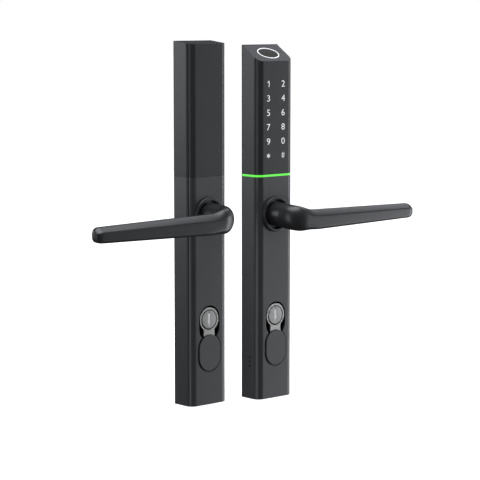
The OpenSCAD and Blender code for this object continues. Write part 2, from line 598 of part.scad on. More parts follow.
// ---------- batteries ----------
bat_x = 5.75;
bat_y = -8.5;
module inside_batteries() color([0.15, 0.35, 0.6]) in_place()
  for (s = [-1, 1], r = [0, 1]) translate([s * bat_x, bat_y, 41 + 44.6 * r]) {
    up = (s > 0) == (r == 0);
    translate([0, 0, up ? 0 : 1]) cylinder(r = 5.2, h = 43.5);
    translate([0, 0, up ? 43.4 : 0]) cylinder(r = 1.9, h = 1.1);
  }
module inside_battery_tray() color([0.10, 0.10, 0.10]) in_place() difference() {
  union() {
    box(-15.6, 15.6, -4.6, plate_f, 35, 135);
    box(-17.3, 17.3, -4.6, -3.6, 35, 135);
    box(-12.6, 12.6, -11.5, -3.6, 37, 39.4);
    box(-12.6, 12.6, -11.5, -3.6, 133.6, 136);
    for (s = [-1, 1]) box(s * 11.9 - 0.7, s * 11.9 + 0.7, -11.5, -3.6, 37, 136);
  }
  for (s = [-1, 1]) translate([s * bat_x, bat_y, 39.4]) cylinder(r = 5.35, h = 94.2);
  ycyl(3.2, -6, 0, 0, post_hi);
}
module inside_battery_contacts() color([0.8, 0.8, 0.78]) in_place() {
  for (s = [-1, 1]) {
    box(s * bat_x - 4, s * bat_x + 4, -12, -7, 39.45, 39.85);
    box(s * bat_x - 4, s * bat_x + 4, -12, -7, 133.1, 133.5);
    translate([s * bat_x, bat_y, 39.85]) cylinder(r1 = 3.4, r2 = 2, h = 1);
    translate([s * bat_x, bat_y, 130.25]) cylinder(r1 = 2, r2 = 3.8, h = 2.9);
  }
}

outside_housing();
outside_keypad_cover();
outside_light_ring();
outside_key_legends();
outside_keypad_board();
outside_fingerprint_bezel();
outside_fingerprint_sensor();
outside_back_plate();
outside_gasket();
outside_plate_screws();
outside_mounting_posts();
outside_control_board();
outside_buzzer();
outside_harness_socket();
outside_rose();
outside_bush();
outside_lever();
outside_lever_grub_screw();
outside_lever_hub();
outside_return_spring();
outside_spindle();
outside_spindle_collar();
clutch_sleeve();
clutch_fork();
clutch_solenoid();
outside_cylinder_body();
outside_cylinder_plug();
outside_cylinder_cover();
outside_cover_rivet();
outside_cover_washer();
inside_housing();
inside_battery_cover();
inside_battery_tray();
inside_batteries();
inside_battery_contacts();
inside_back_plate();
inside_gasket();
inside_housing_screws();
inside_control_board();
inside_harness_socket();
inside_rose();
inside_bush();
inside_lever();
inside_lever_grub_screw();
inside_lever_hub();
inside_return_spring();
inside_spindle();
inside_spindle_collar();
inside_cylinder_body();
inside_cylinder_plug();
inside_cylinder_cover();
inside_cover_rivet();
inside_cover_washer();
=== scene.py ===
import json
import math

import bmesh
import bpy
from mathutils import Matrix, Vector


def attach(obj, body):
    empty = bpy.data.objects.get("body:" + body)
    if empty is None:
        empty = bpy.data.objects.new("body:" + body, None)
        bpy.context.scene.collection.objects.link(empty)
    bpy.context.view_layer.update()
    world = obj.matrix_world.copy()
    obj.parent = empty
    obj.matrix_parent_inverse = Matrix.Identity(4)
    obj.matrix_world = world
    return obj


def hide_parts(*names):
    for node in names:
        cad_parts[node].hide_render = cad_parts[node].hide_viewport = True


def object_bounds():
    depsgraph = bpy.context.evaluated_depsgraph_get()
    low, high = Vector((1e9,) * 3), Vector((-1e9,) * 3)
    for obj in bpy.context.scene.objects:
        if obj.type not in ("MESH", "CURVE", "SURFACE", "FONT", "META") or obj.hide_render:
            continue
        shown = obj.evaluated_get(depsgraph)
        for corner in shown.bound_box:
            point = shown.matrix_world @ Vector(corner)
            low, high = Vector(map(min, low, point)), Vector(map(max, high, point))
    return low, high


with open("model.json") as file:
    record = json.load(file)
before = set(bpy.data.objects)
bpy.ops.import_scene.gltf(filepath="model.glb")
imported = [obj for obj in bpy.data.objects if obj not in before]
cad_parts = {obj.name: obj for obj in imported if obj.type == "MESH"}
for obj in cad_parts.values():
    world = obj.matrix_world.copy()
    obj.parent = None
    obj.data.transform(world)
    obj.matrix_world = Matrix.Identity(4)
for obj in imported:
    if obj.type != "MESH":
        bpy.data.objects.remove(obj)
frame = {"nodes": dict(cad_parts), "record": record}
CAD_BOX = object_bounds()
NODES = frame["nodes"]
MM = 0.001
PX, PZ = -73.0, 4.0          # where the inside half stands, in mm
W, D, ER = 39.5, 20.6, 6.1   # width, depth and front edge radius of both halves
FRONT, RIM = -D, -0.6
TOP, BOT = 140.0, -155.0
SEAM, RING_TOP = 31.4, 33.2

# ------------------------------------------------------------------ materials


def new_mat(name):
    m = bpy.data.materials.new(name)
    m.use_nodes = True
    nt = m.node_tree
    nt.nodes.clear()
    out = nt.nodes.new("ShaderNodeOutputMaterial")
    p = nt.nodes.new("ShaderNodeBsdfPrincipled")
    nt.links.new(p.outputs["BSDF"], out.inputs["Surface"])
    return m, nt, p


def node(nt, kind, **values):
    n = nt.nodes.new(kind)
    for k, v in values.items():
        if k in n.inputs:
            n.inputs[k].default_value = v
        else:
            setattr(n, k, v)
    return n


def ramp(nt, source, stops):
    r = nt.nodes.new("ShaderNodeValToRGB")
    e = r.color_ramp.elements
    e[0].position, e[0].color = stops[0][0], (*stops[0][1], 1)
    e[1].position, e[1].color = stops[1][0], (*stops[1][1], 1)
    for pos, col in stops[2:]:
        x = e.new(pos)
        x.color = (*col, 1)
    nt.links.new(source, r.inputs["Fac"])
    return r.outputs["Color"]


def noise(nt, coords, scale, detail=3.0, rough=0.55):
    n = nt.nodes.new("ShaderNodeTexNoise")
    n.inputs["Scale"].default_value = scale
    n.inputs["Detail"].default_value = detail
    n.inputs["Roughness"].default_value = rough
    nt.links.new(coords, n.inputs["Vector"])
    return n.outputs["Fac"]


def remap(nt, source, lo, hi, a=0.3, b=0.7):
    n = nt.nodes.new("ShaderNodeMapRange")
    n.inputs["From Min"].default_value = a
    n.inputs["From Max"].default_value = b
    n.inputs["To Min"].default_value = lo
    n.inputs["To Max"].default_value = hi
    nt.links.new(source, n.inputs["Value"])
    return n.outputs["Result"]


def bump(nt, p, height, strength, distance):
    n = nt.nodes.new("ShaderNodeBump")
    n.inputs["Strength"].default_value = strength
    n.inputs["Distance"].default_value = distance
    nt.links.new(height, n.inputs["Height"])
    nt.links.new(n.outputs["Normal"], p.inputs["Normal"])


def coated(name, dark, light, rough, spread=0.05, grain=5200, depth=0.00003, wear=None, coat=0.0, metallic=0.0, spec=0.5):
    """Powder coat or moulded plastic: fine grain, faint cloudy tone, roughness that varies a little."""
    m, nt, p = new_mat(name)
    tc = nt.nodes.new("ShaderNodeTexCoord").outputs["Object"]
    cloud = noise(nt, tc, 22.0, 4.0)
    fine = noise(nt, tc, grain, 2.0)
    col = ramp(nt, cloud, [(0.3, dark), (0.72, light)])
    if wear:
        geo = nt.nodes.new("ShaderNodeNewGeometry")
        edge = remap(nt, geo.outputs["Pointiness"], 0.0, 1.0, 0.53, 0.62)
        rub = noise(nt, tc, 900.0, 3.0)
        mul = node(nt, "ShaderNodeMath", operation="MULTIPLY")
        nt.links.new(edge, mul.inputs[0])
        nt.links.new(rub, mul.inputs[1])
        mix = nt.nodes.new("ShaderNodeMix")
        mix.data_type = "RGBA"
        nt.links.new(mul.outputs[0], mix.inputs["Factor"])
        nt.links.new(col, mix.inputs["A"])
        mix.inputs["B"].default_value = (*wear, 1)
        col = mix.outputs["Result"]
    nt.links.new(col, p.inputs["Base Color"])
    nt.links.new(remap(nt, fine, rough - spread, rough + spread), p.inputs["Roughness"])
    p.inputs["Metallic"].default_value = metallic
    p.inputs["Specular IOR Level"].default_value = spec
    if coat:
        p.inputs["Coat Weight"].default_value = coat
        p.inputs["Coat Roughness"].default_value = 0.3
    bump(nt, p, fine, 0.25, depth)
    return m


def metal(name, dark, light, rough, stretch=(1, 1, 1), scale=900.0, spread=0.07, depth=0.00001, metallic=1.0):
    """Turned, ground or plated metal: streaks along one direction over a faint mottle."""
    m, nt, p = new_mat(name)
    tc = nt.nodes.new("ShaderNodeTexCoord").outputs["Object"]
    mp = nt.nodes.new("ShaderNodeMapping")
    mp.inputs["Scale"].default_value = stretch
    nt.links.new(tc, mp.inputs["Vector"])
    streak = noise(nt, mp.outputs["Vector"], scale, 3.0)
    mottle = noise(nt, tc, 160.0, 3.0)
    nt.links.new(ramp(nt, mottle, [(0.3, dark), (0.7, light)]), p.inputs["Base Color"])
    nt.links.new(remap(nt, streak, rough - spread, rough + spread), p.inputs["Roughness"])
    p.inputs["Metallic"].default_value = metallic
    bump(nt, p, streak, 0.2, depth)
    return m


def glowing(name, base, glow, strength, rough=0.4, scale=300.0):
    """Translucent moulded part lit from behind: the glow varies a little over its length."""
    m, nt, p = new_mat(name)
    tc = nt.nodes.new("ShaderNodeTexCoord").outputs["Object"]
    n = noise(nt, tc, scale, 2.0)
    dim = tuple(c * 0.9 for c in glow)
    nt.links.new(ramp(nt, n, [(0.3, dim), (0.7, glow)]), p.inputs["Emission Color"])
    nt.links.new(ramp(nt, n, [(0.3, tuple(c * 0.92 for c in base)), (0.7, base)]), p.inputs["Base Color"])
    p.inputs["Emission Strength"].default_value = strength
    p.inputs["Roughness"].default_value = rough
    return m


def pcb(name):
    m, nt, p = new_mat(name)
    tc = nt.nodes.new("ShaderNodeTexCoord").outputs["Object"]
    v = nt.nodes.new("ShaderNodeTexVoronoi")
    v.distance = "MANHATTAN"
    v.inputs["Scale"].default_value = 380.0
    nt.links.new(tc, v.inputs["Vector"])
    nt.links.new(ramp(nt, v.outputs["Distance"], [(0.0, (0.012, 0.10, 0.035)), (0.35, (0.01, 0.07, 0.028)), (0.5, (0.02, 0.15, 0.05))]), p.inputs["Base Color"])
    p.inputs["Roughness"].default_value = 0.35
    return m


def printed_sleeve(name):
    m, nt, p = new_mat(name)
    tc = nt.nodes.new("ShaderNodeTexCoord").outputs["Object"]
    sep = nt.nodes.new("ShaderNodeSeparateXYZ")
    nt.links.new(tc, sep.inputs[0])
    w = remap(nt, sep.outputs["Z"], 0.0, 1.0, 0.045, 0.134)
    nt.links.new(ramp(nt, w, [(0.0, (0.03, 0.1, 0.32)), (0.38, (0.03, 0.1, 0.32)), (0.4, (0.5, 0.5, 0.52)), (0.5, (0.03, 0.1, 0.32))]), p.inputs["Base Color"])
    p.inputs["Roughness"].default_value = 0.25
    return m


M = {
    "black_metal": coated("coat_housing", (0.030, 0.0308, 0.0328), (0.035, 0.0358, 0.038), 0.37, spec=0.56),
    "lever_black": coated("coat_lever", (0.014, 0.0144, 0.0155), (0.019, 0.0194, 0.0206), 0.36, spread=0.04, grain=4200, depth=0.00002, spec=0.52),
    "cover_black": coated("plastic_cover", (0.0185, 0.019, 0.0204), (0.0225, 0.023, 0.0246), 0.39, grain=3600, spec=0.38),
    "rose_black": coated("coat_rose", (0.018, 0.0185, 0.0197), (0.024, 0.0245, 0.026), 0.34),
    "swing_black": coated("coat_swing_cover", (0.036, 0.0367, 0.0385), (0.042, 0.0427, 0.0445), 0.44),
    "light_ring": glowing("light_guide", (0.05, 0.3, 0.03), (0.12, 0.86, 0.065), 1.0, 0.35),
    "legend_white": glowing("numeral_white", (0.6, 0.605, 0.61), (0.62, 0.63, 0.64), 0.75, 0.5),
    "bezel_white": glowing("bezel_white", (0.7, 0.72, 0.74), (0.80, 0.81, 0.83), 0.75, 0.3),
    "circuit_board": pcb("solder_mask"),
    "zinc_steel": metal("zinc_plate", (0.5, 0.51, 0.50), (0.62, 0.63, 0.61), 0.34, (1, 1, 0.08)),
    "gasket_rubber": coated("rubber", (0.012, 0.012, 0.012), (0.018, 0.018, 0.018), 0.75, grain=2600),
    "bright_steel": metal("bright_steel", (0.52, 0.52, 0.50), (0.62, 0.62, 0.60), 0.28, (1, 0.1, 1)),
    "brass": metal("turned_brass", (0.62, 0.45, 0.18), (0.72, 0.54, 0.25), 0.3, (1, 0.1, 1)),
    "solenoid_plastic": coated("coil_case", (0.05, 0.045, 0.04), (0.07, 0.06, 0.055), 0.5),
    "inner_plastic": coated("black_acetal", (0.016, 0.016, 0.016), (0.022, 0.022, 0.022), 0.5),
    "socket_plastic": coated("natural_nylon", (0.66, 0.62, 0.5), (0.74, 0.7, 0.58), 0.45),
    "battery_sleeve": printed_sleeve("battery_sleeve"),
    "nickel": metal("satin_nickel", (0.30, 0.30, 0.285), (0.36, 0.36, 0.34), 0.42, (1, 1, 1), 1800.0),
    "nickel_face": metal("satin_nickel_face", (0.26, 0.26, 0.25), (0.31, 0.31, 0.30), 0.5, (0.15, 1, 1), 2200.0),
    "keyway": metal("keyway_shutter", (0.62, 0.62, 0.61), (0.7, 0.7, 0.69), 0.5, (1, 1, 0.2), 1500.0, metallic=0.3),
    # painted shade: a near-black finish laid on groove, hole and cavity faces so they read as dark as shade; the metal
    # itself is not this colour
    "void": coated("painted_shade_black", (0.004, 0.004, 0.004), (0.006, 0.006, 0.006), 0.6),
}


def sensor_mat():
    m, nt, p = new_mat("sensor_window")
    tc = nt.nodes.new("ShaderNodeTexCoord").outputs["Object"]
    v = nt.nodes.new("ShaderNodeTexVoronoi")
    v.inputs["Scale"].default_value = 1400.0
    nt.links.new(tc, v.inputs["Vector"])
    nt.links.new(ramp(nt, v.outputs["Distance"], [(0.1, (0.018, 0.017, 0.015)), (0.6, (0.030, 0.029, 0.026))]), p.inputs["Base Color"])
    p.inputs["Roughness"].default_value = 0.5
    p.inputs["Specular IOR Level"].default_value = 0.1
    bump(nt, p, v.outputs["Distance"], 0.2, 0.00002)
    return m


M["sensor_glass"] = sensor_mat()

# ------------------------------------------------------------------ mesh tools (all in mm until done())


def obj_from(bm, name):
    me = bpy.data.meshes.new(name)
    bm.to_mesh(me)
    bm.free()
    o = bpy.data.objects.new(name, me)
    bpy.context.scene.collection.objects.link(o)
    return o


def prism_along(points, axis, a, b, name="tool"):
    """A closed prism: the 2D outline, in order, drawn from a to b along an axis. axis Y takes (x, z) points, Z takes (x, y), X takes (y, z)."""
    bm = bmesh.new()

    def at(p, t):
        return {"Y": (p[0], t, p[1]), "Z": (p[0], p[1], t), "X": (t, p[0], p[1])}[axis]
    lo = [bm.verts.new(at(p, a)) for p in points]
    hi = [bm.verts.new(at(p, b)) for p in points]
    n = len(points)
    bm.faces.new(lo)
    bm.faces.new(hi)
    for i in range(n):
        bm.faces.new((lo[i], lo[(i + 1) % n], hi[(i + 1) % n], hi[i]))
    bmesh.ops.recalc_face_normals(bm, faces=bm.faces)
    return obj_from(bm, name)


def arc(cx, cy, r, a0, a1, n):
    return [(cx + r * math.cos(math.radians(a0 + (a1 - a0) * i / n)), cy + r * math.sin(math.radians(a0 + (a1 - a0) * i / n))) for i in range(n + 1)]


def plan(w, yb, yf, r, n=20):
    """Plan of a housing, counter-clockwise: flat back, two rounded front edges."""
    pts = [(w / 2, yb), (-w / 2, yb)]
    pts += arc(-w / 2 + r, yf + r, r, 180, 270, n)
    pts += arc(w / 2 - r, yf + r, r, 270, 360, n)
    return pts


def circle(cx, cz, r, n=72):
    return arc(cx, cz, r, 0, 360, n)[:-1]


def obround(zl, zh, r, n=36):
    return arc(0, zh, r, 0, 180, n) + arc(0, zl, r, 180, 360, n)


def boolean(target, tools, op="DIFFERENCE"):
    for t in tools:
        m = target.modifiers.new("b", "BOOLEAN")
        m.operation = op
        m.solver = "EXACT"
        m.object = t
        dg = bpy.context.evaluated_depsgraph_get()
        me = bpy.data.meshes.new_from_object(target.evaluated_get(dg))
        target.modifiers.clear()
        old = target.data
        target.data = me
        bpy.data.meshes.remove(old)
    for t in tools:
        me = t.data
        bpy.data.objects.remove(t)
        bpy.data.meshes.remove(me)
    return target


def apply_mods(o):
    bpy.context.view_layer.update()
    dg = bpy.context.evaluated_depsgraph_get()
    me = bpy.data.meshes.new_from_object(o.evaluated_get(dg))
    o.modifiers.clear()
    old = o.data
    o.data = me
    bpy.data.meshes.remove(old)
    return o


def clean(o, dist=0.0015):
    bm = bmesh.new()
    bm.from_mesh(o.data)
    bmesh.ops.remove_doubles(bm, verts=bm.verts, dist=dist)
    bmesh.ops.dissolve_degenerate(bm, edges=bm.edges, dist=dist)
    bmesh.ops.recalc_face_normals(bm, faces=bm.faces)
    bm.to_mesh(o.data)
    bm.free()
    return o


def bevel(o, width, segments=3, angle=35, flat=()):
    """Rounds the sharp edges; edges that lie in one of the flat heights stay as they are, so a seam shows as a hairline."""
    clean(o)
    bm = bmesh.new()
    bm.from_mesh(o.data)
    weight = bm.edges.layers.float.new("bevel_weight_edge")
    for e in bm.edges:
        if len(e.link_faces) == 2 and e.calc_face_angle() > math.radians(angle):
            if not any(abs(e.verts[0].co.z - z) < 0.01 and abs(e.verts[1].co.z - z) < 0.01 for z in flat):
                e[weight] = 1.0
    bm.to_mesh(o.data)
    bm.free()
    m = o.modifiers.new("bevel", "BEVEL")
    m.width = width
    m.segments = segments
    m.limit_method = "WEIGHT"
    m.use_clamp_overlap = True
    m.miter_outer = "MITER_ARC"
    apply_mods(o)
    return clean(o, 0.0004)


def smooth(o, angle=38):
    for p in o.data.polygons:
        p.use_smooth = True
    try:
        o.data.set_sharp_from_angle(angle=math.radians(angle))
    except AttributeError:
        pass


def done(o, name, mat, body, node_names, inside=False, angle=38, weighted=True):
    """Finishes a piece: puts it in place in metres, gives it its material and its body."""
    if inside:
        o.data.transform(Matrix.Translation((PX, 0, PZ)))
    o.data.transform(Matrix.Scale(MM, 4))
    o.name = name
    o.data.name = name
    o.data.materials.clear()
    o.data.materials.append(M[mat] if isinstance(mat, str) else mat)
    smooth(o, angle)
    if weighted:
        w = o.modifiers.new("normals", "WEIGHTED_NORMAL")
        w.keep_sharp = True
    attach(o, body)
    if node_names:
        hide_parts(*node_names)
    return o


def second_material(o, mat, test):
    """Gives the faces whose centre passes the test, in metres, a second material."""
    o.data.materials.append(M[mat])
    for f in o.data.polygons:
        if test(f.center, f.normal):
            f.material_index = 1


def merged(objs, name):
    bm = bmesh.new()
    for o in objs:
        bm.from_mesh(o.data)
        me = o.data
        bpy.data.objects.remove(o)
        bpy.data.meshes.remove(me)
    return obj_from(bm, name)


def lathe(profile, n=96, origin=(0, 0, 0), name="lathe"):
    """Revolves (radius, y) points about the Y axis through origin. The outline is closed."""
    bm = bmesh.new()
    rings = []
    for k in range(n):
        a = 2 * math.pi * k / n
        rings.append([bm.verts.new((origin[0] + r * math.cos(a), origin[1] + y, origin[2] + r * math.sin(a))) for r, y in profile])
    m = len(profile)
    for k in range(n):
        p, q = rings[k], rings[(k + 1) % n]
        for i in range(m):
            j = (i + 1) % m
            vs = [p[i], p[j], q[j], q[i]]
            bm.faces.new(vs)
    bmesh.ops.remove_doubles(bm, verts=bm.verts, dist=1e-5)
    bmesh.ops.dissolve_degenerate(bm, edges=bm.edges, dist=1e-5)
    bmesh.ops.recalc_face_normals(bm, faces=bm.faces)
    return obj_from(bm, name)


def rounded(points, r, n=5):
    """Rounds the corners of a closed outline; r is one radius or one per corner."""
    out = []
    m = len(points)
    for i, p in enumerate(points):
        ri = r[i] if isinstance(r, (list, tuple)) else r
        p, a, b = Vector(p), Vector(points[i - 1]), Vector(points[(i + 1) % m])
        if ri <= 0:
            out.append(tuple(p))
            continue
        u, v = (a - p).normalized(), (b - p).normalized()
        half = u.angle(v) / 2
        t = min(ri / math.tan(half), (a - p).length * 0.49, (b - p).length * 0.49)
        s, e = p + u * t, p + v * t
        for k in range(n + 1):
            f = k / n
            out.append(tuple(s * (1 - f) ** 2 + p * 2 * f * (1 - f) + e * f ** 2))
    return out


# ------------------------------------------------------------------ housings and covers
HOLE_R, CYL_Z = 10.85, -85.0
HOLE_LO, HOLE_HI = -91.9, -84.4
PILL_LO, PILL_HI, PIVOT = -116.1, -108.6, -100.25
GAP = 1.1


def parting(z0, z1):
    a = math.radians(28)
    return [prism_along(circle(s * (W / 2 - ER * (1 - math.cos(a))), FRONT + ER * (1 - math.sin(a)), 0.4, 24), "Z", z0, z1) for s in (-1, 1)]


def in_parting(x, y):
    a = math.radians(28)
    cx, cy = W / 2 - ER, FRONT + ER
    return abs(math.hypot(abs(x) - W / 2 + ER * (1 - math.cos(a)), y - FRONT - ER * (1 - math.sin(a)))) < 0.42 and math.hypot(abs(x) - cx, y - cy) < ER - 0.08


def housing(inside):
    o = prism_along(plan(W, RIM, FRONT, ER, 28), "Z", BOT, SEAM)
    # the opening's lower end is closed by a thin web under the parked cover
    opening = prism_along(obround(HOLE_LO, HOLE_HI, HOLE_R, 48), "Y", FRONT - 1, FRONT + 3)
    boolean(opening, [prism_along(circle(0, PILL_HI, 10.4, 96), "Y", FRONT, FRONT + 1)])
    gap = prism_along(obround(PILL_LO, PILL_HI, 11.0 + GAP, 48), "Y", FRONT - 1, FRONT + 0.5)
    boolean(gap, [prism_along(obround(PILL_LO, PILL_HI, 11.0, 48), "Y", FRONT - 2, FRONT + 1)])
    tools = [
        prism_along(plan(W - 4, 1, FRONT + 2, ER - 2), "Z", BOT + 2, SEAM + 5),
        prism_along(circle(0, 0, 13.2), "Y", FRONT - 1, FRONT + 3),
        gap,
        opening,
    ]
    if inside:
        for s in (-1, 1):
            tools.append(prism_along(circle(s * 12.6, FRONT + 5.5, 2.5, 32), "Z", BOT - 1, BOT + 1.2))
        tools += parting(BOT - 1, SEAM + 1)
    else:
        for z in (-119.7, -123.5, -127.3):
            tools.append(prism_along(circle(-10.4, z, 0.85, 24), "X", -W / 2 - 1, -W / 2 + 3))
    boolean(o, tools)
    bevel(o, 0.22, 3, flat=(SEAM,))
    name = "inside_housing_shell" if inside else "outside_housing_shell"
    done(o, name, "black_metal", "root", ["inside_housing" if inside else "outside_housing"], inside=inside)
    ox, oz = (PX, PZ) if inside else (0, 0)

    # painted shade: picks the faces that get the near-black finish: the parting groove, the inner cavity, the walls of
    # the side holes, the shadow gap round the parked cover and the walls of the cylinder opening
    def painted_shade_faces(c, n):
        x, y, z = c.x / MM - ox, c.y / MM, c.z / MM - oz
        if inside and in_parting(x, y):
            return True
        if y > FRONT + 2.2 and (abs(x) < W / 2 - 1.6) and z > BOT + 1.6:
            return True
        if y < FRONT + 0.1 or y > FRONT + 2.3:
            return (not inside) and x < -W / 2 + 1.9 and x > -W / 2 + 0.12 and -129 < z < -118
        zc = min(max(z, PILL_LO), PILL_HI)
        if math.hypot(x, z - zc) < 12.3 and y < FRONT + 0.6:
            return True
        zc = min(max(z, HOLE_LO), HOLE_HI)
        return math.hypot(x, z - zc) < HOLE_R + 0.3 and y > FRONT + 0.24
    # painted shade on the faces picked above
    second_material(o, "void", painted_shade_faces)
    return o


def slope_tool(drop, z):
    return prism_along([(12, z + 12 * drop / D), (-D - 12, z - drop - 12 * drop / D), (-D - 12, z + 80), (12, z + 80)], "X", -40, 40)


SLANT = math.atan2(13.3, D)
BEZ_Y, BEZ_Z = -D * 0.527, TOP - 13.3 * 0.527
BEZ_A, BEZ_B, BEZ_W = 10.9, 7.5, 0.8
TILT = Matrix.Translation((0, BEZ_Y, BEZ_Z)) @ Matrix.Rotation(SLANT, 4, "X")


def keypad_cover():
    o = prism_along(plan(W, RIM, FRONT, ER, 28), "Z", RING_TOP + 0.02, TOP + 6)
    cavity = prism_along(plan(W - 3.6, 1, FRONT + 1.8, ER - 1.8), "Z", RING_TOP - 5, TOP + 6)
    boolean(cavity, [slope_tool(13.3, TOP - 3.2)])
    ov = [(math.cos(2 * math.pi * i / 128), math.sin(2 * math.pi * i / 128)) for i in range(128)]
    recess = prism_along([(c * (BEZ_A + 0.05), n * (BEZ_B + 0.05)) for c, n in ov], "Z", -1.6, 6)
    boolean(recess, [prism_along([(c * (BEZ_A - BEZ_W), n * (BEZ_B - BEZ_W)) for c, n in ov], "Z", -6, -0.5)], "UNION")
    recess.data.transform(TILT)
    boolean(o, [slope_tool(13.3, TOP), cavity, recess])
    bevel(o, 0.25, 3, flat=(RING_TOP + 0.02,))
    return done(o, "outside_keypad_cover_shell", "cover_black", "root", ["outside_keypad_cover"])


def battery_cover():
    o = prism_along(plan(W, RIM, FRONT, ER, 28), "Z", SEAM + 0.12, TOP + 6)
    cavity = prism_along(plan(W - 3.6, 1, FRONT + 1.8, ER - 1.8), "Z", SEAM - 5, TOP + 6)
    boolean(cavity, [slope_tool(2.4, TOP - 2)])
    boolean(o, [slope_tool(2.4, TOP), cavity] + parting(SEAM - 1, TOP + 7))
    rails = [prism_along([(s * 17.2 - 1, -3.3), (s * 17.2 + 1, -3.3), (s * 17.2 + 1, -2.4), (s * 17.2 - 1, -2.4)], "Z", SEAM + 1, TOP - 4) for s in (-1, 1)]
    bevel(o, 0.25, 3, flat=(SEAM + 0.12,))
    o = merged([o] + rails, "battery_cover")
    done(o, "inside_battery_cover_shell", "cover_black", "battery_cover", ["inside_battery_cover"], inside=True)
    # painted shade: the parting groove's faces get the near-black finish
    second_material(o, "void", lambda c, n: in_parting(c.x / MM - PX, c.y / MM))
    return o


def light_ring():
    o = prism_along(plan(W - 0.06, RIM, FRONT + 0.03, ER), "Z", SEAM + 0.04, RING_TOP - 0.02)
    boolean(o, [prism_along(plan(W - 3.6, 1, FRONT + 1.8, ER - 1.8), "Z", SEAM - 2, RING_TOP + 2)])
    bevel(o, 0.15, 2)
    return done(o, "outside_light_guide", "light_ring", "root", ["outside_light_ring"])


housing(False)
housing(True)
keypad_cover()
battery_cover()
light_ring()


# ------------------------------------------------------------------ fingerprint reader
def oval_loft(rings, name):
    """A closed form of stacked ovals: each ring is (half width, half height, height above the slope); a zero ring closes to a point."""
    bm = bmesh.new()
    n = 128
    made = []
    for a, b, h in rings:
        if a == 0:
            made.append([bm.verts.new((0, 0, h))])
        else:
            made.append([bm.verts.new((a * math.cos(2 * math.pi * i / n), b * math.sin(2 * math.pi * i / n), h)) for i in range(n)])
    for p, q in zip(made, made[1:] + (made[:1] if len(made[0]) > 1 and len(made[-1]) > 1 else [])):
        for i in range(n):
            j = (i + 1) % n
            if len(p) == 1:
                bm.faces.new((p[0], q[j], q[i]))
            elif len(q) == 1:
                bm.faces.new((p[i], p[j], q[0]))
            else:
                bm.faces.new((p[i], p[j], q[j], q[i]))
    bmesh.ops.recalc_face_normals(bm, faces=bm.faces)
    o = obj_from(bm, name)
    o.data.transform(TILT)
    return o


def bezel():
    a, b, w = BEZ_A, BEZ_B, BEZ_W
    o = oval_loft([(a - w, b - w, -1.55), (a, b, -1.55), (a, b, 0.02), (a - 0.06, b - 0.06, 0.14), (a - 0.2, b - 0.2, 0.2),
                   (a - w + 0.2, b - w + 0.2, 0.2), (a - w + 0.05, b - w + 0.05, 0.13), (a - w, b - w, 0.0)], "bezel")
    return done(o, "fingerprint_bezel_ring", "bezel_white", "root", ["outside_fingerprint_bezel"], angle=60)


def sensor():
    a, b = BEZ_A - BEZ_W - 0.05, BEZ_B - BEZ_W - 0.05
    o = oval_loft([(0, 0, -4.9), (a, b, -4.9), (a, b, -0.25), (a - 0.12, b - 0.12, -0.12), (a - 0.5, b - 0.45, -0.06),
                   (a * 0.8, b * 0.8, -0.14), (a * 0.55, b * 0.55, -0.2), (a * 0.25, b * 0.25, -0.24), (0, 0, -0.25)], "sensor")
    return done(o, "fingerprint_window", "sensor_glass", "root", ["outside_fingerprint_sensor"], angle=60)


bezel()
sensor()


# ------------------------------------------------------------------ numerals
def glyph_mesh(ch):
    """A numeral as a thin raised mesh about its own middle, drawn in the XY plane in mm."""
    c = bpy.data.curves.new("glyph", "FONT")
    c.body = ch
    c.size = 6.6
    c.align_x = "CENTER"
    c.resolution_u = 6
    c.extrude = 0.05
    c.offset = -0.03
    t = bpy.data.objects.new("glyph", c)
    bpy.context.scene.collection.objects.link(t)
    bpy.context.view_layer.update()
    me = bpy.data.meshes.new_from_object(t.evaluated_get(bpy.context.evaluated_depsgraph_get()))
    bpy.data.objects.remove(t)
    bpy.data.curves.remove(c)
    xs = [v.co.x for v in me.vertices]
    ys = [v.co.y for v in me.vertices]
    k = 5.2 / (max(ys) - min(ys))
    me.transform(Matrix.Translation((-(min(xs) + max(xs)) / 2, -(min(ys) + max(ys)) / 2, 0)))
    me.transform(Matrix.Diagonal((k * 1.14, k, 1, 1)))
    return me


def stroke_mesh(strokes, r=0.3):
    """A glyph of straight strokes with round ends, in the same plane."""
    bm = bmesh.new()
    for x0, y0, x1, y1 in strokes:
        a, b = Vector((x0, y0)), Vector((x1, y1))
        d = (b - a).normalized()
        e = Vector((-d.y, d.x))
        pts = []
        for end, sgn in ((b, 1), (a, -1)):
            for k in range(7):
                f = math.radians(-90 + 30 * k)
                pts.append(end + d * sgn * r * math.cos(f) + e * sgn * r * math.sin(f))
        lo = [bm.verts.new((p.x, p.y, -0.05)) for p in pts]
        hi = [bm.verts.new((p.x, p.y, 0.05)) for p in pts]
        bm.faces.new(lo[::-1])
        bm.faces.new(hi)
        for i in range(len(pts)):
            j = (i + 1) % len(pts)
            bm.faces.new((lo[i], lo[j], hi[j], hi[i]))
    me = bpy.data.meshes.new("glyph")
    bm.to_mesh(me)
    bm.free()
    return me


STROKES = {
    "1": [(0.55, 2.28, 0.55, -2.28), (0.55, 2.28, -0.85, 1.2)],
    "*": [(0, 1.7, 0, -1.7), (1.55, 0.85, -1.55, -0.85), (-1.55, 0.85, 1.55, -0.85)],
    "#": [(-0.5, 2.3, -0.85, -2.3), (1.05, 2.3, 0.7, -2.3), (-1.65, 0.9, 1.75, 0.9), (-1.75, -0.9, 1.65, -0.9)],
}


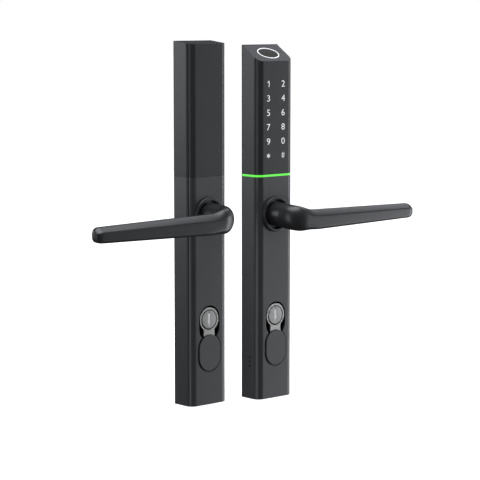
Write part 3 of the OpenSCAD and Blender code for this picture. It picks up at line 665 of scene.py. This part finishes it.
def numerals():
    rows = [("1", "2"), ("3", "4"), ("5", "6"), ("7", "8"), ("9", "0"), ("*", "#")]
    parts = []
    for i, row in enumerate(rows):
        for j, ch in enumerate(row):
            me = stroke_mesh(STROKES[ch], 0.17 if ch == "#" else 0.33 if ch == "1" else 0.27) if ch in STROKES else glyph_mesh(ch)
            me.transform(Matrix.Rotation(math.radians(90), 4, "X"))
            me.transform(Matrix.Translation(((2 * j - 1) * 8.15 - 0.3, FRONT - 0.05, 108.0 - i * 11.85)))
            o = bpy.data.objects.new("glyph", me)
            bpy.context.scene.collection.objects.link(o)
            parts.append(o)
    o = merged(parts, "numerals")
    clean(o, 1e-4)
    return done(o, "keypad_numerals", "legend_white", "root", ["outside_key_legends"], weighted=False)


numerals()


# ------------------------------------------------------------------ roses
def rose(inside):
    prof = rounded([(12.0, 2.0), (13.1, 2.0), (13.1, 0.0), (14.9, 0.0), (14.9, -2.0), (12.0, -2.0)], [0, 0, 0, 0.25, 0.95, 0.85], 8)
    o = lathe([(r, FRONT + y) for r, y in prof], 128)
    return done(o, "inside_rose_ring" if inside else "outside_rose_ring", "rose_black", "root", ["inside_rose" if inside else "outside_rose"], inside=inside, angle=50)


rose(False)
rose(True)


# ------------------------------------------------------------------ levers
A0, A1, B0, B1, ELBOW_A = 8.6, 6.1, 5.0, 4.7, 10.5
NECK, ELBOW, GRIP, DROP, NECK_R, TIP_R = 16.6, 8.9, 127.0, 4.0, 10.0, 6.4
TURN = ELBOW * math.pi / 2
TOTAL = NECK + TURN + GRIP


def sm(t):
    t = max(0.0, min(1.0, t))
    return t * t * (3 - 2 * t)


def section_table():
    """Radius over angle of the grip's section, in a square of half size 1: u is depth (minus is the front), v is height."""
    pts = rounded([(1.0, 0.7), (0.72, 1.0), (0.0, 1.0), (-1.0, 0.34), (-0.93, -0.8), (-0.6, -1.0), (0.72, -1.0), (1.0, -0.7)],
                  [0.3, 0.3, 0.5, 0.28, 0.25, 0.25, 0.3, 0.3], 10)
    dense = []
    for a, b in zip(pts, pts[1:] + pts[:1]):
        for k in range(24):
            f = k / 24
            dense.append((a[0] * (1 - f) + b[0] * f, a[1] * (1 - f) + b[1] * f))
    return sorted((math.atan2(v, u) % (2 * math.pi), math.hypot(u, v)) for u, v in dense)


TABLE = section_table()


def section(f):
    """Radius of the grip's section at angle f."""
    import bisect
    f %= 2 * math.pi
    i = bisect.bisect([a for a, r in TABLE], f)
    a0, r0 = TABLE[i - 1]
    a1, r1 = TABLE[i % len(TABLE)]
    span = (a1 - a0) % (2 * math.pi) or 1e-9
    k = ((f - a0) % (2 * math.pi)) / span
    return r0 + (r1 - r0) * k


def lever_at(s):
    h = 0 if s <= NECK else min(90.0, math.degrees((s - NECK) / ELBOW))
    y0 = FRONT + 0.3
    if s <= NECK:
        p = (0.0, y0 - s)
    elif s <= NECK + TURN:
        p = (ELBOW * (1 - math.cos(math.radians(h))), y0 - NECK - ELBOW * math.sin(math.radians(h)))
    else:
        p = (ELBOW + s - NECK - TURN, y0 - NECK - ELBOW)
    q = max(0.0, s - NECK - TURN)
    d = (TOTAL - s) / TIP_R
    k = 0.35 + 0.65 * (math.sqrt(max(0.0, 1 - (1 - d) ** 2)) if d < 1 else 1)
    mid = NECK + TURN / 2
    if s < mid:
        a = (NECK_R + (ELBOW_A - NECK_R) * sm(s / mid)) * k
    else:
        a = (A0 + (A1 - A0) * q / GRIP + (ELBOW_A - A0) * (1 - sm((s - mid) / 15))) * k
    b = (NECK_R + (B0 - NECK_R) * sm(s / (NECK + TURN)) + (B1 - B0) * q / GRIP) * k
    o = (NECK_R + (B0 - NECK_R) * sm((s - 0.75 * NECK) / (0.25 * NECK + TURN)) + (B1 - B0) * q / GRIP) * k
    w = 0.9 * sm((s - NECK - 0.2 * TURN) / (0.8 * TURN + 14))
    return p, h, a, b, o, w, -DROP * sm((s - 2) / 44)


def lever(inside):
    m = 96
    radii = [section(2 * math.pi * i / m) for i in range(m)]
    stops = [NECK * i / 12 for i in range(12)] + [NECK + TURN * i / 24 for i in range(24)]
    stops += [NECK + TURN + (GRIP - TIP_R) * i / 48 for i in range(48)]
    stops += [TOTAL - TIP_R * (1 - math.sin(math.radians(90 * i / 16))) for i in range(17)]
    bm = bmesh.new()
    rings = []
    for s in stops:
        p, h, a, b, out, w, zc = lever_at(s)
        ch, sh = math.cos(math.radians(h)), math.sin(math.radians(h))
        ring = []
        for i in range(m):
            f = 2 * math.pi * i / m
            c, n = math.cos(f), math.sin(f)
            rad = (1 + (radii[i] - 1) * w) * 0.9985
            u = (out if c < 0 else b) * c * rad
            v = a * n * rad
            ring.append(bm.verts.new(((p[0] + u * ch) * 0.9999, p[1] + u * sh, zc + v)))
        rings.append(ring)
    for r, q in zip(rings, rings[1:]):
        for i in range(m):
            j = (i + 1) % m
            bm.faces.new((r[i], r[j], q[j], q[i]))
    bm.faces.new(rings[0])
    # the tip closes over a small flat with a soft edge
    tip = rings[-1]
    c = sum((v.co for v in tip), Vector()) / m
    last = tip
    for k, out in ((0.8, 0.0), (0.4, 0.0)):
        ring = [bm.verts.new(c + (v.co - c) * k) for v in tip]
        for i in range(m):
            j = (i + 1) % m
            bm.faces.new((last[i], last[j], ring[j], ring[i]))
        last = ring
    bm.faces.new(last)
    if inside:
        for v in bm.verts:
            v.co.x = -v.co.x
    bmesh.ops.recalc_face_normals(bm, faces=bm.faces)
    o = obj_from(bm, "lever")
    side = "inside" if inside else "outside"
    return done(o, side + "_lever_handle", "lever_black", side + "_lever", [side + "_lever"], inside=inside, angle=60, weighted=False)


lever(False)
lever(True)


# ------------------------------------------------------------------ cylinders and their swinging covers
CYL_F, HEAD_F, HEAD_B = FRONT + 2.3, FRONT + 0.2, FRONT + 10.0
HEAD_R, HEAD_NECK, FACE_R = 9.9, 11.4, 7.5
KEY = [(-0.55, -5.9), (0.55, -5.9), (0.75, -3.6), (1.5, -2.9), (1.65, -0.6), (1.15, 0.7), (1.4, 1.3),
       (1.4, 5.0), (-1.4, 5.0), (-1.4, 1.3), (-1.15, 0.7), (-1.65, -0.6), (-1.5, -2.9), (-0.75, -3.6)]


def cyl_outline(r, n, h, k=40):
    """Outline of a profile cylinder about its own round centre, in (x, z)."""
    zc = r - h + n / 2
    a = math.degrees(math.asin(n / 2 / r))
    pts = arc(0, 0, r, -90 + a, 270 - a, k)
    pts += arc(0, zc, n / 2, 180, 360, 20)
    return [(x, z + CYL_Z) for x, z in pts]


def head_outline():
    """Outline of the enlarged front head: a round with a neck that ends in a hollow arc above the rivet."""
    a = math.degrees(math.asin(HEAD_NECK / 2 / HEAD_R))
    pts = [(x, z + CYL_Z) for x, z in arc(0, 0, HEAD_R, -90 + a, 270 - a, 72)]
    r = 11.05
    b = math.degrees(math.asin(HEAD_NECK / 2 / r))
    pts += arc(0, PILL_HI, r, 90 + b, 90 - b, 16)
    return pts


def cylinder(inside):
    side = "inside" if inside else "outside"
    o = prism_along(head_outline(), "Y", HEAD_F, CYL_F + 0.2)
    boolean(o, [prism_along(circle(-0.15, CYL_Z - 0.3, FACE_R + 0.8, 96), "Y", HEAD_F - 1, HEAD_F + 0.9)])
    bevel(o, 0.22, 3)
    back = prism_along(cyl_outline(8.5, 10, 33, 60), "Y", CYL_F, CYL_F + 25)
    boolean(back, [prism_along(circle(0, CYL_Z, 3.2, 48), "Y", CYL_F + 10, CYL_F + 26)])
    bevel(back, 0.2, 2)
    o = merged([o, back], "case")
    done(o, side + "_cylinder_case", "nickel", "root", [side + "_cylinder_body"], inside=inside)
    ox, oz = (PX, PZ) if inside else (0, 0)
    # painted shade: the faces of the recess round the plug face get the near-black finish, so the groove reads dark
    second_material(o, "void", lambda c, n: math.hypot(c.x / MM - ox + 0.15, c.z / MM - oz - CYL_Z + 0.3) < FACE_R + 0.7 and c.y / MM > HEAD_F + 0.3 and c.y / MM < CYL_F + 1)
    # plug face with a shaped keyway, and its tail
    p = lathe([(0, 0), (FACE_R - 0.35, 0), (FACE_R - 0.12, 0.08), (FACE_R, 0.3), (FACE_R, 4.9), (0, 4.9)], 128, (0, HEAD_F, CYL_Z))
    key = rounded(KEY, 0.25, 3)
    boolean(p, [prism_along([(x, z + CYL_Z) for x, z in key], "Y", HEAD_F - 1, HEAD_F + 0.7),
                prism_along(circle(0, CYL_Z + 6.35, 0.55, 20), "Y", HEAD_F - 1, HEAD_F + 0.6)])
    tail = lathe([(0, 20), (3.0, 20), (3.0, 28.3), (2.7, 28.6), (0, 28.6)], 48, (0, HEAD_F, CYL_Z))
    p = merged([p, tail], "plug")
    clean(p)
    done(p, side + "_cylinder_plug_face", "nickel_face", side + "_plug", [side + "_cylinder_plug"], inside=inside)
    k = prism_along([(x * 0.97, z * 0.985 + CYL_Z) for x, z in key], "Y", HEAD_F + 0.12, HEAD_F + 0.69)
    bevel(k, 0.08, 2)
    done(k, side + "_keyway_shutter", "keyway", side + "_plug", [], inside=inside)
    # swinging cover
    y0, y1 = FRONT - 0.85, FRONT - 0.05
    c = prism_along(obround(PILL_LO, PILL_HI, 11.0, 64), "Y", y0, y1)
    bevel(c, 0.28, 4)
    done(c, side + "_swing_cover", "swing_black", side + "_cover", [side + "_cylinder_cover"], inside=inside)


cylinder(False)
cylinder(True)

# ------------------------------------------------------------------ finishes of the CAD pieces that stay
slot_of = {s["node"]: s["material_slot"] for s in frame["record"]["subparts"]}
for name, o in NODES.items():
    if o.hide_render:
        continue
    o.data.materials.clear()
    o.data.materials.append(M[slot_of[name]])

# ------------------------------------------------------------------ stage, camera, light
def area(name, loc, target, size, size_y, power, color=(0.925, 0.95, 1.0)):
    l = bpy.data.lights.new(name, "AREA")
    l.shape = "RECTANGLE"
    l.size, l.size_y = size, size_y
    l.energy = power
    l.color = color
    o = bpy.data.objects.new(name, l)
    bpy.context.scene.collection.objects.link(o)
    o.location = loc
    o.rotation_mode = "QUATERNION"
    o.rotation_quaternion = (Vector(target) - Vector(loc)).to_track_quat("-Z", "Y")
    return o


def floor():
    bm = bmesh.new()
    n, r = 64, 12.0
    vs = [bm.verts.new((r * math.cos(2 * math.pi * i / n), r * math.sin(2 * math.pi * i / n), 0)) for i in range(n)]
    bm.faces.new(vs)
    o = obj_from(bm, "floor")
    o.location = (0, 0, CAD_BOX[0].z - 0.0005)
    m, nt, p = new_mat("pale_floor")
    p.inputs["Base Color"].default_value = (0.8, 0.8, 0.8, 1)
    p.inputs["Roughness"].default_value = 0.9
    p.inputs["Specular IOR Level"].default_value = 0.0
    p.inputs["Emission Color"].default_value = (1, 1, 1, 1)
    p.inputs["Emission Strength"].default_value = 1.0
    o.data.materials.append(m)
    o.visible_glossy = False
    o.visible_diffuse = False
    o.visible_shadow = False
    return o


floor()

world = bpy.data.worlds.new("studio")
bpy.context.scene.world = world
world.use_nodes = True
nt = world.node_tree
nt.nodes.clear()
out = nt.nodes.new("ShaderNodeOutputWorld")
white = node(nt, "ShaderNodeBackground", Color=(1, 1, 1, 1), Strength=1.0)
dim = node(nt, "ShaderNodeBackground", Color=(1, 1, 1, 1), Strength=0.12)
lp = nt.nodes.new("ShaderNodeLightPath")
mix = nt.nodes.new("ShaderNodeMixShader")
nt.links.new(lp.outputs["Is Camera Ray"], mix.inputs["Fac"])
nt.links.new(dim.outputs[0], mix.inputs[1])
nt.links.new(white.outputs[0], mix.inputs[2])
nt.links.new(mix.outputs[0], out.inputs["Surface"])

area("softbox_left", (-0.85, 0.95, 0.27), (0, 0, 0.02), 0.9, 0.6, 5.6)
area("softbox_front", (1.33, -0.74, -0.25), (0, 0, 0.0), 0.5, 1.3, 12)
area("softbox_edge", (-1.42, -0.50, -0.1), (-0.05, 0, 0.0), 0.5, 1.3, 5)
area("softbox_right", (1.45, -0.13, -0.05), (-0.05, -0.04, 0.0), 0.6, 1.0, 1.5)
area("softbox_high", (1.05, 0.05, 1.2), (0, 0, 0.05), 0.7, 0.8, 5)
area("softbox_top", (-0.1, -0.35, 1.3), (0, 0, 0.0), 1.2, 1.1, 22)

az, pitch = math.radians(41.51), math.radians(6.83)
fwd = Vector((math.sin(az) * math.cos(pitch), math.cos(az) * math.cos(pitch), -math.sin(pitch)))
right = Vector((math.cos(az), -math.sin(az), 0))
up = right.cross(fwd)
K = 0.98333
place = Vector((-37.1, 0, 136.63 - 157.8)) * K + (right * 11.33 - fwd * 1624.39) * K
cam = bpy.data.cameras.new("camera")
cam.sensor_width = 36.0
cam.lens = 1928.04 / 480 * 36
co = bpy.data.objects.new("camera", cam)
bpy.context.scene.collection.objects.link(co)
rot = Matrix((right, up, -fwd)).transposed().to_4x4()
co.matrix_world = Matrix.Translation(place * MM) @ rot
cam.clip_start, cam.clip_end = 0.05, 60
bpy.context.scene.camera = co
bpy.context.scene.view_settings.view_transform = "Standard"
